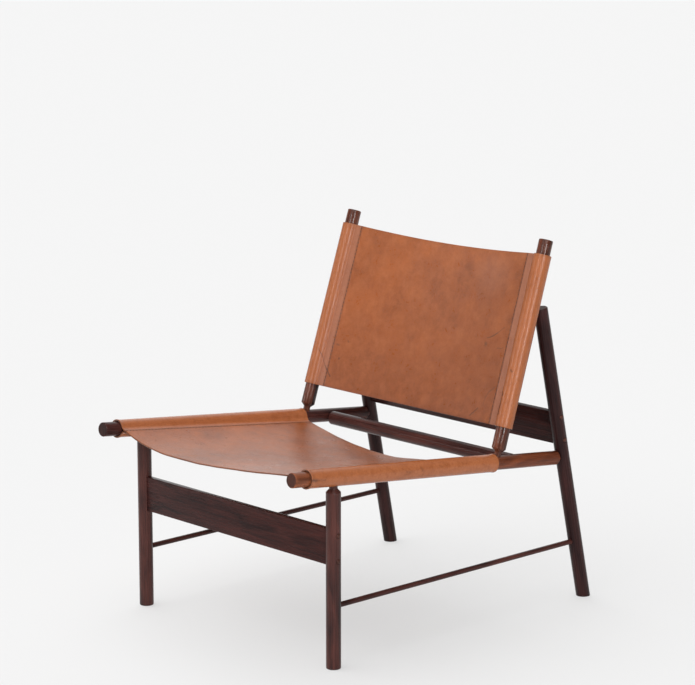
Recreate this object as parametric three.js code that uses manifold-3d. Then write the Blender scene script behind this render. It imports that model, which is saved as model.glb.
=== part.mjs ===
// Leather sling lounge chair: a frame of turned rosewood rods that carries two leather slings.
// Millimetres, +Z up, standing on the floor. The sitter faces -Y, and +X is the sitter's left.
import * as THREE from 'three';
import { mergeVertices } from 'three/addons/utils/BufferGeometryUtils.js';
import Module from 'manifold-3d';

const wasm = await Module();
wasm.setup();

const DEGREE = Math.PI / 180;

// Turned rods
const ROD_DIAMETER = 30;
const ROD_SIDES = 24;
const ROD_EDGE = 1.8;             // eased edge of a cut end
const LEG_TENON_DIAMETER = 17;    // front leg neck, into the seat rail
const POST_TENON_DIAMETER = 15;   // back post neck, into the seat rail
const RAIL_TENON_DIAMETER = 16;   // seat rail into the rear leg, and cross rail into the seat rail
const TENON_DEPTH = 18;           // below the surface that it enters
const SHOULDER_STANDOFF = 15;     // full rod ends this far from the rail it is tenoned into
const RAIL_STANDOFF = 7;          // the same, where a seat rail meets the rear leg
const CROSS_RAIL_STANDOFF = 5;    // the same, where the cross rail meets a seat rail
const SHOULDER_CHAMFER = 7;       // cone from the full rod to its neck
const RAIL_CHAMFER = 4;           // the same, on the rails

// Side frames, in side view: Y runs to the rear from the front leg
const RAIL_SPACING = 586;         // between the axes of the two seat rails
const RAIL_HEIGHT = 389;          // rail axis above the floor, over the front leg
const RAIL_SLOPE = 6.2 * DEGREE;  // falls to the rear
const RAIL_OVERHANG = 111;        // rail in front of the front leg
const POST_STATION = 460;         // back post behind the front leg, along the rail
const POST_LEAN = 18.4 * DEGREE;
const POST_LENGTH = 474;          // rail axis to the top of the post
const POST_TOE_IN = 4;            // the top of the post stands this much inside its foot
const REAR_FOOT_DISTANCE = 731;   // front leg to rear foot, on the floor
const REAR_FOOT_SPLAY = 6;        // rear foot outside the rail
const LEG_JOINT_STATION = 323;    // where the rear leg meets the post, up the post
const LEG_ABOVE_JOINT = 5;        // rear leg above that point

// Rails and boards across the chair
const CROSS_RAIL_BEHIND_POST = 69;
const CROSS_RAIL_DROP = 3;        // below the axis of the seat rails
const BOARD_HEIGHT = 74;
const BOARD_THICKNESS = 12;
const BOARD_EDGE = 1.2;
const BOARD_HOUSING = 6;          // how deep a board's end is let into the round leg
const FRONT_BOARD_DROP = 75;      // front leg's shoulder down to the board's upper edge
const REAR_BOARD_RISE = 31;       // seat rail's axis up to the board's lower edge, along the leg
const STRETCHER_DIAMETER = 11;
const STRETCHER_SIDES = 16;
const STRETCHER_HEIGHT = 127;
const STRETCHER_DEPTH = 13;       // end of the stretcher below the leg's surface

// Screws and the wooden plugs over them
const SCREW_DIAMETER = 4.5;
const SCREW_HEAD_DIAMETER = 8;
const SCREW_HEAD_HEIGHT = 3;
const SCREW_TIP = 5;
const SCREW_POINT_DIAMETER = 1.1;
const SCREW_SPACING = 52;         // the two screws of one board end
const SCREW_SIDES = 10;
const BOARD_SCREW_BITE = 30;      // thread in the board
const POST_SCREW_BITE = 20;       // thread in the post
const PLUG_RIM = 1;               // plug wider than the screw head, all round
const PLUG_LENGTH = 5;            // below the surface of the leg
const PLUG_DOME = 1.2;
const PLUG_EDGE = 2.5;             // sloped rim of the dome
const PLUG_SIDES = 14;

// Leather slings
const LEATHER = 3.2;
const SEAM_ALLOWANCE = 14;        // sleeve flap past its seam
const LAYER_GAP = 0.6;            // between the flap and the sling above it
const SLEEVE_STEPS = 14;
const SAG_STEPS = 14;
const SLING_STEPS = 6;
const SEAT_FRONT_INSET = 37;      // bare rail in front of the sleeve
const SEAT_REAR_GAP = 1.5;        // sleeve to the neck of the back post
const SEAT_SEAM_GAP = 11;         // sleeve's round part to its seam
const SEAT_SEAM_DROP = 8;         // the seam sinks this far below the rail axis at the rear edge
const SEAT_SAG_FRONT = 24;
const SEAT_SAG_REAR = 31;
const SEAT_TILT_FRONT = 15.6;     // the worn seat sags this much more at the right seam, less at the left
const SEAT_TILT_REAR = 10.4;
const SEAT_SHAPE_FRONT = 2.6;     // power of the sag's curve, which is a parabola at 2
const SEAT_SHAPE_REAR = 1.5;
const BACK_ABOVE_RAIL = 75;       // rail axis to the sling's lower edge, up the post
const BACK_BELOW_TOP = 32;        // top of the post to the sling's upper edge
const BACK_SEAM_GAP = 20;
const BACK_SEAM_FORWARD = 3;      // seam in front of the plane of the posts
const BACK_SAG = 22;
const BACK_SHAPE = 2;
const BACK_TOP_DIP = 7;           // the upper edge dips in the middle

// Fits
const CLEARANCE = 0.3;
const SLEEVE_CLEARANCE = 0.5;
const MERGE_DISTANCE = 0.001;     // points closer than this are one point

// Materials
const rosewood = new THREE.MeshStandardMaterial({ color: 0x3c231c, roughness: 0.42, metalness: 0 });
const leather = new THREE.MeshStandardMaterial({ color: 0xac6842, roughness: 0.55, metalness: 0 });
const steel = new THREE.MeshStandardMaterial({ color: 0x9a9a98, roughness: 0.35, metalness: 0.9 });

// Derived sizes
const rodRadius = ROD_DIAMETER / 2;
const legTenonRadius = LEG_TENON_DIAMETER / 2;
const postTenonRadius = POST_TENON_DIAMETER / 2;
const railTenonRadius = RAIL_TENON_DIAMETER / 2;
const stretcherRadius = STRETCHER_DIAMETER / 2;
const screwRadius = SCREW_DIAMETER / 2;
const headRadius = SCREW_HEAD_DIAMETER / 2;
const plugRadius = headRadius + PLUG_RIM;
const counterboreDepth = SCREW_HEAD_HEIGHT + CLEARANCE + PLUG_LENGTH;
const sleeveRadius = rodRadius + SLEEVE_CLEARANCE + LEATHER;
const railX = RAIL_SPACING / 2;

const sides = [['left', 1], ['right', -1]];
const alongX = new THREE.Vector3(1, 0, 0);

// Points along the axes of the rods. side is 1 on the sitter's left and -1 on the right.
const railAlong = new THREE.Vector3(0, Math.cos(RAIL_SLOPE), -Math.sin(RAIL_SLOPE));
const railUp = new THREE.Vector3(0, Math.sin(RAIL_SLOPE), Math.cos(RAIL_SLOPE));
const postAlong = new THREE.Vector3(0, Math.sin(POST_LEAN), Math.cos(POST_LEAN));
const postFront = new THREE.Vector3(0, -Math.cos(POST_LEAN), Math.sin(POST_LEAN));

function railPoint(side, station) {
  return new THREE.Vector3(side * railX, 0, RAIL_HEIGHT).addScaledVector(railAlong, station);
}

function postPoint(side, station) {
  const point = railPoint(side, POST_STATION).addScaledVector(postAlong, station);
  point.x -= side * POST_TOE_IN * station / POST_LENGTH;
  return point;
}

// The rear leg runs from its foot to the back of the post's sleeve, which its front face touches.
const legContact = postPoint(0, LEG_JOINT_STATION).addScaledVector(postFront, -sleeveRadius - CLEARANCE);
const footToContact = legContact.clone().sub(new THREE.Vector3(0, REAR_FOOT_DISTANCE, 0));
const contactDistance = Math.hypot(footToContact.y, footToContact.z);
const legAngle = Math.atan2(footToContact.z, footToContact.y) - Math.asin(rodRadius / contactDistance);
const legContactStation = Math.sqrt(contactDistance ** 2 - rodRadius ** 2);
const rearLegLength = legContactStation + LEG_ABOVE_JOINT;
const legAlong = new THREE.Vector3(0, Math.cos(legAngle), Math.sin(legAngle));
const rearFootX = railX + REAR_FOOT_SPLAY;
const rearTopX = postPoint(1, LEG_JOINT_STATION).x;

function rearLegPoint(side, station) {
  const point = new THREE.Vector3(0, REAR_FOOT_DISTANCE, 0).addScaledVector(legAlong, station);
  point.x = side * (rearFootX + (rearTopX - rearFootX) * station / rearLegLength);
  return point;
}

// Where the rail's axis meets the rear leg's axis in side view.
const railAndLeg = railAlong.y * legAlong.z - railAlong.z * legAlong.y;
const railEnd = (REAR_FOOT_DISTANCE * legAlong.z + RAIL_HEIGHT * legAlong.y) / railAndLeg;
const legStationAtRail = (RAIL_HEIGHT + railEnd * railAlong.z) / legAlong.z;

// Turns a geometry into a solid for cutting, with its shared points merged.
function toSolid(geometry) {
  const bare = geometry.clone();
  bare.deleteAttribute('normal');
  bare.deleteAttribute('uv');
  const merged = mergeVertices(bare, MERGE_DISTANCE);
  const corners = merged.index.array;
  const triangles = [];
  for (let i = 0; i < corners.length; i += 3) {
    const [a, b, c] = [corners[i], corners[i + 1], corners[i + 2]];
    if (a !== b && b !== c && c !== a) triangles.push(a, b, c);
  }
  return new wasm.Manifold(new wasm.Mesh({
    numProp: 3,
    vertProperties: new Float32Array(merged.attributes.position.array),
    triVerts: new Uint32Array(triangles),
  }));
}

function toGeometry(solid) {
  const mesh = solid.getMesh();
  const geometry = new THREE.BufferGeometry();
  geometry.setAttribute('position', new THREE.BufferAttribute(new Float32Array(mesh.vertProperties), 3));
  geometry.setIndex(new THREE.BufferAttribute(new Uint32Array(mesh.triVerts), 1));
  return geometry;
}

// A frame whose Z axis runs from one point towards another.
function frameAlong(from, to) {
  const direction = to.clone().sub(from).normalize();
  const turn = new THREE.Quaternion().setFromUnitVectors(new THREE.Vector3(0, 0, 1), direction);
  return new THREE.Matrix4().compose(from, turn, new THREE.Vector3(1, 1, 1));
}

// A turned solid along Z. The profile lists [distance along the axis, radius].
function turned(profile, segments) {
  const ends = [[profile[0][0], 0], ...profile, [profile.at(-1)[0], 0]];
  const points = ends.map(([distance, radius]) => new THREE.Vector2(radius, distance));
  return new THREE.LatheGeometry(points, segments).rotateX(Math.PI / 2);
}

// A round bore between two points of the chair, for cutting. It is turned by half a facet, so that its
// edges keep clear of those of the rod that it cuts.
function bore(from, to, radius, segments = ROD_SIDES) {
  const length = from.distanceTo(to);
  const straight = turned([[0, radius], [length, radius]], segments).rotateZ(Math.PI / segments);
  return straight.applyMatrix4(frameAlong(from, to));
}

const chair = new THREE.Group();
const standing = new THREE.Group();
chair.add(standing);

// Adds a piece that is shaped in its own frame and cut by shapes given in the chair's frame.
function addPiece(name, material, shape, frame, cuts = [], within = []) {
  const toLocal = frame.clone().invert();
  let solid = toSolid(shape);
  for (const cut of cuts) solid = solid.subtract(toSolid(cut.clone().applyMatrix4(toLocal)));
  for (const bound of within) solid = solid.intersect(toSolid(bound.clone().applyMatrix4(toLocal)));
  const mesh = new THREE.Mesh(toGeometry(solid), material);
  mesh.name = name;
  frame.decompose(mesh.position, mesh.quaternion, mesh.scale);
  standing.add(mesh);
}

// Distances along an axis at which a rod meets the surface of the rod it is tenoned into.
const legAtRail = RAIL_HEIGHT - rodRadius / Math.cos(RAIL_SLOPE);
const postAtRail = rodRadius / Math.cos(POST_LEAN - RAIL_SLOPE);
const railAtLeg = railEnd - rodRadius / Math.abs(railAndLeg);
const legShoulder = legAtRail - SHOULDER_STANDOFF;
const legTenonEnd = legAtRail + TENON_DEPTH;
const postShoulder = postAtRail + SHOULDER_STANDOFF;
const postTenonEnd = postAtRail - TENON_DEPTH;
const railTenonEnd = railAtLeg + TENON_DEPTH;
const crossRailPoint = (x) => railPoint(0, POST_STATION + CROSS_RAIL_BEHIND_POST)
  .addScaledVector(railUp, -CROSS_RAIL_DROP).setX(x);
const crossTenonEnd = railX - rodRadius + TENON_DEPTH;

// Bores that one rod leaves in the rod that holds it.
const frontLegPoint = (side, height) => new THREE.Vector3(side * railX, 0, height);
const legBore = (side) => bore(frontLegPoint(side, legShoulder),
  frontLegPoint(side, legTenonEnd + CLEARANCE), legTenonRadius + CLEARANCE);
const postBore = (side) => bore(postPoint(side, postTenonEnd - CLEARANCE),
  postPoint(side, postShoulder), postTenonRadius + CLEARANCE);
const railBore = (side) => bore(railPoint(side, railTenonEnd - ROD_DIAMETER),
  railPoint(side, railTenonEnd + CLEARANCE), railTenonRadius + CLEARANCE);
const crossBore = (side) => bore(crossRailPoint(side * (crossTenonEnd - ROD_DIAMETER)),
  crossRailPoint(side * (crossTenonEnd + CLEARANCE)), railTenonRadius + CLEARANCE);

// Side stretchers, from leg to leg, level with the floor.
const stretcherLegStation = STRETCHER_HEIGHT / legAlong.z;
const stretcherFront = (side) => frontLegPoint(side, STRETCHER_HEIGHT);
const stretcherRear = (side) => rearLegPoint(side, stretcherLegStation);
const stretcherAt = (side, distance) => stretcherFront(side).lerp(stretcherRear(side),
  distance / stretcherFront(side).distanceTo(stretcherRear(side)));
const stretcherSpan = stretcherFront(1).distanceTo(stretcherRear(1));
const stretcherStart = rodRadius - STRETCHER_DEPTH;
const stretcherEnd = stretcherSpan - rodRadius / legAlong.z + STRETCHER_DEPTH;
const stretcherBore = (side, end, inward) => bore(stretcherAt(side, end - inward * CLEARANCE),
  stretcherAt(side, end + inward * ROD_DIAMETER), stretcherRadius + CLEARANCE, STRETCHER_SIDES);

// A stretch of board on edge, across the chair from one X to another.
function boardStretch(from, to, margin) {
  const edge = BOARD_EDGE;
  const [width, height] = [BOARD_THICKNESS / 2 + margin, BOARD_HEIGHT / 2 + margin];
  const section = new THREE.Shape([
    [edge - width, -height], [width - edge, -height], [width, edge - height], [width, height - edge],
    [width - edge, height], [edge - width, height], [-width, height - edge], [-width, edge - height],
  ].map(([y, z]) => new THREE.Vector2(y, z)));
  const stretch = new THREE.ExtrudeGeometry(section, { depth: to - from, bevelEnabled: false });
  return stretch.translate(0, 0, from);
}

// Each board's centre is given on the axis of the leg at its end, and up runs along that leg.
const frontBoardHeight = legShoulder - FRONT_BOARD_DROP - BOARD_HEIGHT / 2;
const rearBoardStation = legStationAtRail + REAR_BOARD_RISE + BOARD_HEIGHT / 2;
const boards = [
  {
    name: 'front_board',
    centre: (side) => frontLegPoint(side, frontBoardHeight),
    up: new THREE.Vector3(0, 0, 1),
  },
  {
    name: 'rear_board',
    centre: (side) => rearLegPoint(side, rearBoardStation),
    up: legAlong,
  },
];

// How far a board reaches from the middle of the chair, into the legs.
const boardReach = ({ centre }) => centre(1).x - rodRadius + BOARD_HOUSING;

function boardFrame({ centre, up }) {
  const front = new THREE.Vector3().crossVectors(up, alongX);
  return new THREE.Matrix4().makeBasis(front, up, alongX).setPosition(centre(1).setX(0));
}

function boardHousing(board, side) {
  const ends = [boardReach(board) - ROD_DIAMETER, boardReach(board) + CLEARANCE].map((x) => side * x);
  const grown = boardStretch(Math.min(...ends), Math.max(...ends), CLEARANCE);
  return grown.applyMatrix4(boardFrame(board));
}

// A screw lies along an axis from its seat, under its head, towards its tip.
function screwBores(seat, tip) {
  const into = tip.clone().sub(seat).normalize();
  const mouth = seat.clone().addScaledVector(into, -ROD_DIAMETER);
  const start = seat.clone().addScaledVector(into, -SCREW_HEAD_HEIGHT);
  return [
    bore(start, tip.clone().addScaledVector(into, CLEARANCE), screwRadius + CLEARANCE, SCREW_SIDES),
    bore(seat, mouth, plugRadius + CLEARANCE, PLUG_SIDES),
  ];
}

function addScrew(name, seat, tip) {
  const length = seat.distanceTo(tip);
  const head = SCREW_HEAD_HEIGHT + CLEARANCE;
  const profile = [[-head, headRadius], [-CLEARANCE - SCREW_HEAD_HEIGHT / 2, headRadius],
    [-CLEARANCE, screwRadius], [length - SCREW_TIP, screwRadius], [length, SCREW_POINT_DIAMETER / 2]];
  addPiece(name, steel, turned(profile, SCREW_SIDES), frameAlong(seat, tip));
}

// The plug starts just above the screw head and runs out to the surface of the leg.
function plugShape(top) {
  const bottom = SCREW_HEAD_HEIGHT + 2 * CLEARANCE;
  const profile = [[bottom, plugRadius], [top - PLUG_DOME, plugRadius], [top, plugRadius - PLUG_EDGE]];
  return turned(profile, PLUG_SIDES);
}

// Two screws hold each board end, from the outside of the leg.
const boardScrews = boards.map((board) => sides.map(([sideName, side]) => [-1, 1].map((end) => {
  const seat = board.centre(side).addScaledVector(board.up, end * SCREW_SPACING / 2);
  seat.x += side * (rodRadius - counterboreDepth);
  const tip = seat.clone().setX(side * (boardReach(board) - BOARD_SCREW_BITE));
  return { name: `${board.name}_${sideName}_${end > 0 ? 'upper' : 'lower'}`, seat, tip };
})));

// One screw at the top of each rear leg, square to the post, goes through the sleeve into the post.
const legCross = legAlong.angleTo(postAlong);
const legThrough = ROD_DIAMETER / Math.cos(legCross);
const postScrewSeat = legThrough - counterboreDepth - plugRadius * Math.tan(legCross);
const postScrews = sides.map(([sideName, side]) => {
  const behindPost = -sleeveRadius - CLEARANCE;
  const contact = postPoint(side, LEG_JOINT_STATION).addScaledVector(postFront, behindPost);
  const bite = SLEEVE_CLEARANCE + LEATHER + CLEARANCE + POST_SCREW_BITE;
  return {
    name: `rear_leg_${sideName}`,
    seat: contact.clone().addScaledVector(postFront, -postScrewSeat),
    tip: contact.clone().addScaledVector(postFront, bite),
  };
});

// Turned frame
const easedStart = (from) => [[from, rodRadius - ROD_EDGE], [from + ROD_EDGE, rodRadius]];
const easedEnd = (to) => [[to - ROD_EDGE, rodRadius], [to, rodRadius - ROD_EDGE]];
const neck = (shoulder, end, radius, chamfer = SHOULDER_CHAMFER) => [[shoulder, rodRadius],
  [shoulder + Math.sign(end - shoulder) * chamfer, radius], [end, radius]];

// The rear leg starts one diameter below the floor, and a block of this size takes that stub off.
const footCut = 4 * ROD_DIAMETER;

sides.forEach(([sideName, side], index) => {
  const [frontScrews, rearScrews] = boardScrews.map((board) => board[index]);
  const bores = (screws) => screws.flatMap(({ seat, tip }) => screwBores(seat, tip));

  const railNeck = neck(railAtLeg - RAIL_STANDOFF, railTenonEnd, railTenonRadius, RAIL_CHAMFER);
  const rail = [...easedStart(-RAIL_OVERHANG), ...railNeck];
  addPiece(`seat_rail_${sideName}`, rosewood, turned(rail, ROD_SIDES),
    frameAlong(railPoint(side, 0), railPoint(side, railEnd)),
    [legBore(side), postBore(side), crossBore(side)]);

  const frontLeg = [...easedStart(0), ...neck(legShoulder, legTenonEnd, legTenonRadius)];
  addPiece(`front_leg_${sideName}`, rosewood, turned(frontLeg, ROD_SIDES),
    frameAlong(frontLegPoint(side, 0), frontLegPoint(side, legShoulder)),
    [boardHousing(boards[0], side), stretcherBore(side, stretcherStart, 1), ...bores(frontScrews)]);

  const post = [...neck(postShoulder, postTenonEnd, postTenonRadius).reverse(), ...easedEnd(POST_LENGTH)];
  addPiece(`back_post_${sideName}`, rosewood, turned(post, ROD_SIDES),
    frameAlong(postPoint(side, 0), postPoint(side, POST_LENGTH)), bores([postScrews[index]]));

  // The rear leg's foot is sawn level with the floor, and its top is hollowed to fit the sleeved post.
  const rearLeg = [[-ROD_DIAMETER, rodRadius], ...easedEnd(rearLegLength)];
  const floor = new THREE.BoxGeometry(footCut, footCut, footCut);
  floor.translate(side * rearFootX, REAR_FOOT_DISTANCE, -footCut / 2);
  const sleeve = bore(postPoint(side, 0), postPoint(side, POST_LENGTH), sleeveRadius + CLEARANCE);
  addPiece(`rear_leg_${sideName}`, rosewood, turned(rearLeg, ROD_SIDES),
    frameAlong(rearLegPoint(side, 0), rearLegPoint(side, rearLegLength)),
    [floor, sleeve, railBore(side), boardHousing(boards[1], side), stretcherBore(side, stretcherEnd, -1),
      ...bores(rearScrews), ...bores([postScrews[index]])]);

  const stretcher = [[stretcherStart, stretcherRadius], [stretcherEnd, stretcherRadius]];
  addPiece(`side_stretcher_${sideName}`, rosewood, turned(stretcher, STRETCHER_SIDES),
    frameAlong(stretcherFront(side), stretcherRear(side)));
});

const crossShoulder = railX - rodRadius - CROSS_RAIL_STANDOFF;
const crossNeck = neck(crossShoulder, crossTenonEnd, railTenonRadius, RAIL_CHAMFER);
const crossRail = [...crossNeck.map(([distance, radius]) => [-distance, radius]).reverse(), ...crossNeck];
addPiece('seat_cross_rail', rosewood, turned(crossRail, ROD_SIDES),
  frameAlong(crossRailPoint(0), crossRailPoint(railX)));

// Boards, screws and plugs
boards.forEach((board, index) => {
  const reach = boardReach(board);
  const bores = boardScrews[index].flat().map(({ seat, tip }) => screwBores(seat, tip)[0]);
  addPiece(board.name, rosewood, boardStretch(-reach, reach, 0), boardFrame(board), bores);
  for (const screw of boardScrews[index].flat()) {
    addScrew(`${screw.name}_screw`, screw.seat, screw.tip);
    addPiece(`${screw.name}_plug`, rosewood, plugShape(counterboreDepth + PLUG_DOME),
      frameAlong(screw.seat, screw.seat.clone().multiplyScalar(2).sub(screw.tip)));
  }
});

postScrews.forEach(({ name, seat, tip }, index) => {
  const side = sides[index][1];
  const legTop = rearLegPoint(side, rearLegLength);
  const surface = bore(rearLegPoint(side, 0), legTop, rodRadius + PLUG_DOME / 2);
  addScrew(`${name}_screw`, seat, tip);
  addPiece(`${name}_plug`, rosewood, plugShape(ROD_DIAMETER),
    frameAlong(seat, seat.clone().multiplyScalar(2).sub(tip)), [], [surface]);
});

// One half of a sling's section, from the end of the sleeve's flap to the middle of the chair, as the
// line through the middle of the leather. It is measured across the chair and out towards the sitter.
function slingHalf({ halfWidth, seamGap, seamOut, sag, shape }, tilt) {
  const wrap = rodRadius + SLEEVE_CLEARANCE + LEATHER / 2;
  const seam = new THREE.Vector2(halfWidth - sleeveRadius - seamGap, seamOut);
  const sagAt = (across) => {
    const part = across / seam.x;
    return seamOut - (sag - tilt * part) * (1 - part ** shape);
  };
  const layers = LEATHER + LAYER_GAP;
  const underSeam = new THREE.Vector2(seam.x, seam.y - layers);
  const tangent = (point, turn) => {
    const [dx, dy] = [point.x - halfWidth, point.y];
    return Math.atan2(dy, dx) + turn * Math.acos(wrap / Math.hypot(dx, dy));
  };
  const upper = tangent(seam, -1);
  const lower = tangent(underSeam, 1);
  const flapEnd = seam.x - SEAM_ALLOWANCE;
  const points = [new THREE.Vector2(flapEnd, sagAt(flapEnd) - layers), underSeam];
  const start = lower < 0 ? lower : lower - 2 * Math.PI;
  const finish = upper < 0 ? upper + 2 * Math.PI : upper;
  for (let i = 0; i <= SLEEVE_STEPS; i += 1) {
    const angle = start + (finish - start) * i / SLEEVE_STEPS;
    points.push(new THREE.Vector2(halfWidth + wrap * Math.cos(angle), wrap * Math.sin(angle)));
  }
  for (let i = 0; i < SAG_STEPS / 2; i += 1) {
    const across = seam.x * (1 - 2 * i / SAG_STEPS);
    points.push(new THREE.Vector2(across, sagAt(across)));
  }
  return points;
}

// The closed outline of a strip of leather along an open line.
function stripOutline(line) {
  const offsets = line.map((point, i) => {
    const before = point.clone().sub(line[Math.max(i - 1, 0)]).normalize();
    const after = line[Math.min(i + 1, line.length - 1)].clone().sub(point).normalize();
    const along = before.clone().add(after).normalize();
    const across = new THREE.Vector2(-along.y, along.x);
    const straight = before.lengthSq() > 0 ? before : after;
    return across.multiplyScalar(LEATHER / 2 / along.dot(straight));
  });
  const outer = line.map((point, i) => point.clone().add(offsets[i]));
  const inner = line.map((point, i) => point.clone().sub(offsets[i]));
  return [...outer, ...inner.reverse()];
}

function slingOutline(sling, tilt = 0) {
  const left = slingHalf(sling, tilt);
  const middle = new THREE.Vector2(0, sling.seamOut - sling.sag);
  const right = slingHalf(sling, -tilt).map(({ x, y }) => new THREE.Vector2(-x, y)).reverse();
  return stripOutline([...left, middle, ...right]);
}

// A solid through a row of outlines with the same number of points, closed at both ends.
function loft(outlines) {
  const count = outlines[0].length;
  const positions = outlines.flat().flatMap(({ x, y, z }) => [x, y, z]);
  const triangles = [];
  for (let ring = 0; ring < outlines.length - 1; ring += 1) {
    for (let i = 0; i < count; i += 1) {
      const [a, b] = [ring * count + i, ring * count + (i + 1) % count];
      triangles.push(a, b, b + count, a, b + count, a + count);
    }
  }
  const capAt = (outline) => THREE.ShapeUtils.triangulateShape(
    outline.map(({ x, z }) => new THREE.Vector2(x, z)), []);
  const last = (outlines.length - 1) * count;
  for (const [a, b, c] of capAt(outlines[0])) triangles.push(a, b, c);
  for (const [a, b, c] of capAt(outlines.at(-1))) triangles.push(last + a, last + c, last + b);
  const geometry = new THREE.BufferGeometry();
  geometry.setAttribute('position', new THREE.Float32BufferAttribute(positions, 3));
  geometry.setIndex(triangles);
  return geometry;
}

// Seat sling, between the seat rails
const seatStart = SEAT_FRONT_INSET - RAIL_OVERHANG;
const neckFront = POST_STATION - postTenonRadius / Math.cos(POST_LEAN - RAIL_SLOPE);
const seatEnd = neckFront - SEAT_REAR_GAP;
const seatOutlines = [];
for (let i = 0; i <= SLING_STEPS; i += 1) {
  const share = i / SLING_STEPS;
  const between = (front, rear) => front + (rear - front) * share;
  const station = between(seatStart, seatEnd);
  const outline = slingOutline({
    halfWidth: railX,
    seamGap: SEAT_SEAM_GAP,
    seamOut: between(0, -SEAT_SEAM_DROP),
    sag: between(SEAT_SAG_FRONT, SEAT_SAG_REAR),
    shape: between(SEAT_SHAPE_FRONT, SEAT_SHAPE_REAR),
  }, between(SEAT_TILT_FRONT, SEAT_TILT_REAR));
  seatOutlines.push(outline.map(({ x, y }) => new THREE.Vector3(x, station, y)));
}
const seatFrame = new THREE.Matrix4().makeBasis(alongX, railAlong, railUp);
seatFrame.setPosition(railPoint(0, 0));
addPiece('seat_sling', leather, loft(seatOutlines), seatFrame, sides.map(([, side]) => legBore(side)));

// Back sling, between the back posts
const backTop = POST_LENGTH - BACK_BELOW_TOP;
const backShape = {
  seamGap: BACK_SEAM_GAP, seamOut: BACK_SEAM_FORWARD, sag: BACK_SAG, shape: BACK_SHAPE,
};
const backOutlines = [];
for (let i = 0; i <= SLING_STEPS; i += 1) {
  const share = i / SLING_STEPS;
  const station = BACK_ABOVE_RAIL + (backTop - BACK_ABOVE_RAIL) * share;
  const halfWidth = postPoint(1, station).x;
  const dip = (x) => BACK_TOP_DIP * share * Math.max(0, 1 - (x / (halfWidth - sleeveRadius)) ** 2);
  const outline = slingOutline({ halfWidth, ...backShape });
  backOutlines.push(outline.map(({ x, y }) => new THREE.Vector3(x, station - dip(x), y)));
}
const backFrame = new THREE.Matrix4().makeBasis(alongX, postAlong, postFront);
backFrame.setPosition(postPoint(0, 0));
addPiece('back_sling', leather, loft(backOutlines), backFrame,
  postScrews.map(({ seat, tip }) => screwBores(seat, tip)[0]));

// The origin lies on the floor, under the middle of the chair's length.
const frontMost = railPoint(0, -RAIL_OVERHANG).y - (rodRadius - ROD_EDGE) * Math.sin(RAIL_SLOPE);
const rearMost = REAR_FOOT_DISTANCE + rodRadius / legAlong.z;
standing.position.y = -(frontMost + rearMost) / 2;

export default chair;
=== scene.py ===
"""Leather sling lounge chair: turned rosewood rods that carry a seat and a back of saddle leather.

Metres, +Z up, standing on the floor. The sitter faces -Y, and +X is the sitter's left.
"""
import math

import bmesh
import bpy
from mathutils import Matrix, Vector, noise


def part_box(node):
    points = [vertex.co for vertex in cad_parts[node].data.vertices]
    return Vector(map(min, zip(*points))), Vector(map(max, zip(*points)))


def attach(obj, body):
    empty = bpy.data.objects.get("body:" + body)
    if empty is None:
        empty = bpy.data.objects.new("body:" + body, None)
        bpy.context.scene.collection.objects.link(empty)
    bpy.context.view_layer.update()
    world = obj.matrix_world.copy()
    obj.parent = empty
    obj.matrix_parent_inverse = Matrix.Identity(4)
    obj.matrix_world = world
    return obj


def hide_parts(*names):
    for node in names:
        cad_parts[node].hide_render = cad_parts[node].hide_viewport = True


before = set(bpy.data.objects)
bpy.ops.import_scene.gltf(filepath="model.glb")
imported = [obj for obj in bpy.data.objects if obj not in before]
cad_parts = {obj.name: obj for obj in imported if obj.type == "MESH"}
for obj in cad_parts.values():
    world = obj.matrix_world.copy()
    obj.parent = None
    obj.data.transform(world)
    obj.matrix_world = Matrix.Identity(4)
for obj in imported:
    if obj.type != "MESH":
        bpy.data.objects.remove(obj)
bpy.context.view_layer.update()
scene = bpy.context.scene
scene.view_settings.view_transform = "Standard"


# Seat rails
# Two rosewood rods that run along the sides of the seat and fall to the rear. Each is turned from
# 30 mm stock, with a neck that is tenoned into the rear leg and bores for the rods it carries.
ROD_RADIUS = 0.015
ROD_STEPS = 72
RING_SPACING = 0.014
CUT_EDGE = 0.0022
SHOULDER_EDGE = 0.0007
FIT = 0.0003
MERGE_DISTANCE = 1e-6

# Kinds of edges by how many degrees their two faces turn, and the turn from which shading is sharp.
SQUARE_EDGE = (70, 95)
SLOPING_EDGE = (30, 60)
WOOD_SHARP_FROM = 32

lowest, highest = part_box("front_leg_left")
LEG_Y = (lowest[1] + highest[1]) / 2
SIDES = {"left": 1, "right": -1}

RAIL_X = 0.293
RAIL_HEIGHT = 0.389
RAIL_SLOPE = math.radians(6.2)
RAIL_FRONT = -0.111
RAIL_SHOULDER = 0.6435
RAIL_TENON_END = 0.6685
RAIL_TENON_RADIUS = 0.008
RAIL_CHAMFER = 0.004
RAIL_ALONG = Vector((0, math.cos(RAIL_SLOPE), -math.sin(RAIL_SLOPE)))
RAIL_UP = Vector((0, math.sin(RAIL_SLOPE), math.cos(RAIL_SLOPE)))

# Places of the rods that enter the rails, along each rod's own axis.
SHOULDER_CHAMFER = 0.007
LEG_SHOULDER = 0.3589
LEG_TENON_END = 0.3919
LEG_TENON_RADIUS = 0.0085
POST_STATION = 0.46
POST_LEAN = math.radians(18.4)
POST_LENGTH = 0.474
POST_TOE_IN = 0.004
POST_SHOULDER = 0.03035
POST_TENON_END = -0.00265
POST_TENON_RADIUS = 0.0075
POST_ALONG = Vector((0, math.sin(POST_LEAN), math.cos(POST_LEAN)))
POST_FRONT = Vector((0, -math.cos(POST_LEAN), math.sin(POST_LEAN)))
CROSS_STATION = 0.529
CROSS_DROP = 0.003
CROSS_SHOULDER = 0.273
CROSS_TENON_END = 0.296


def rail_point(side, station):
    return Vector((side * RAIL_X, LEG_Y, RAIL_HEIGHT)) + RAIL_ALONG * station


def leg_point(side, height):
    return Vector((side * RAIL_X, LEG_Y, height))


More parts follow.
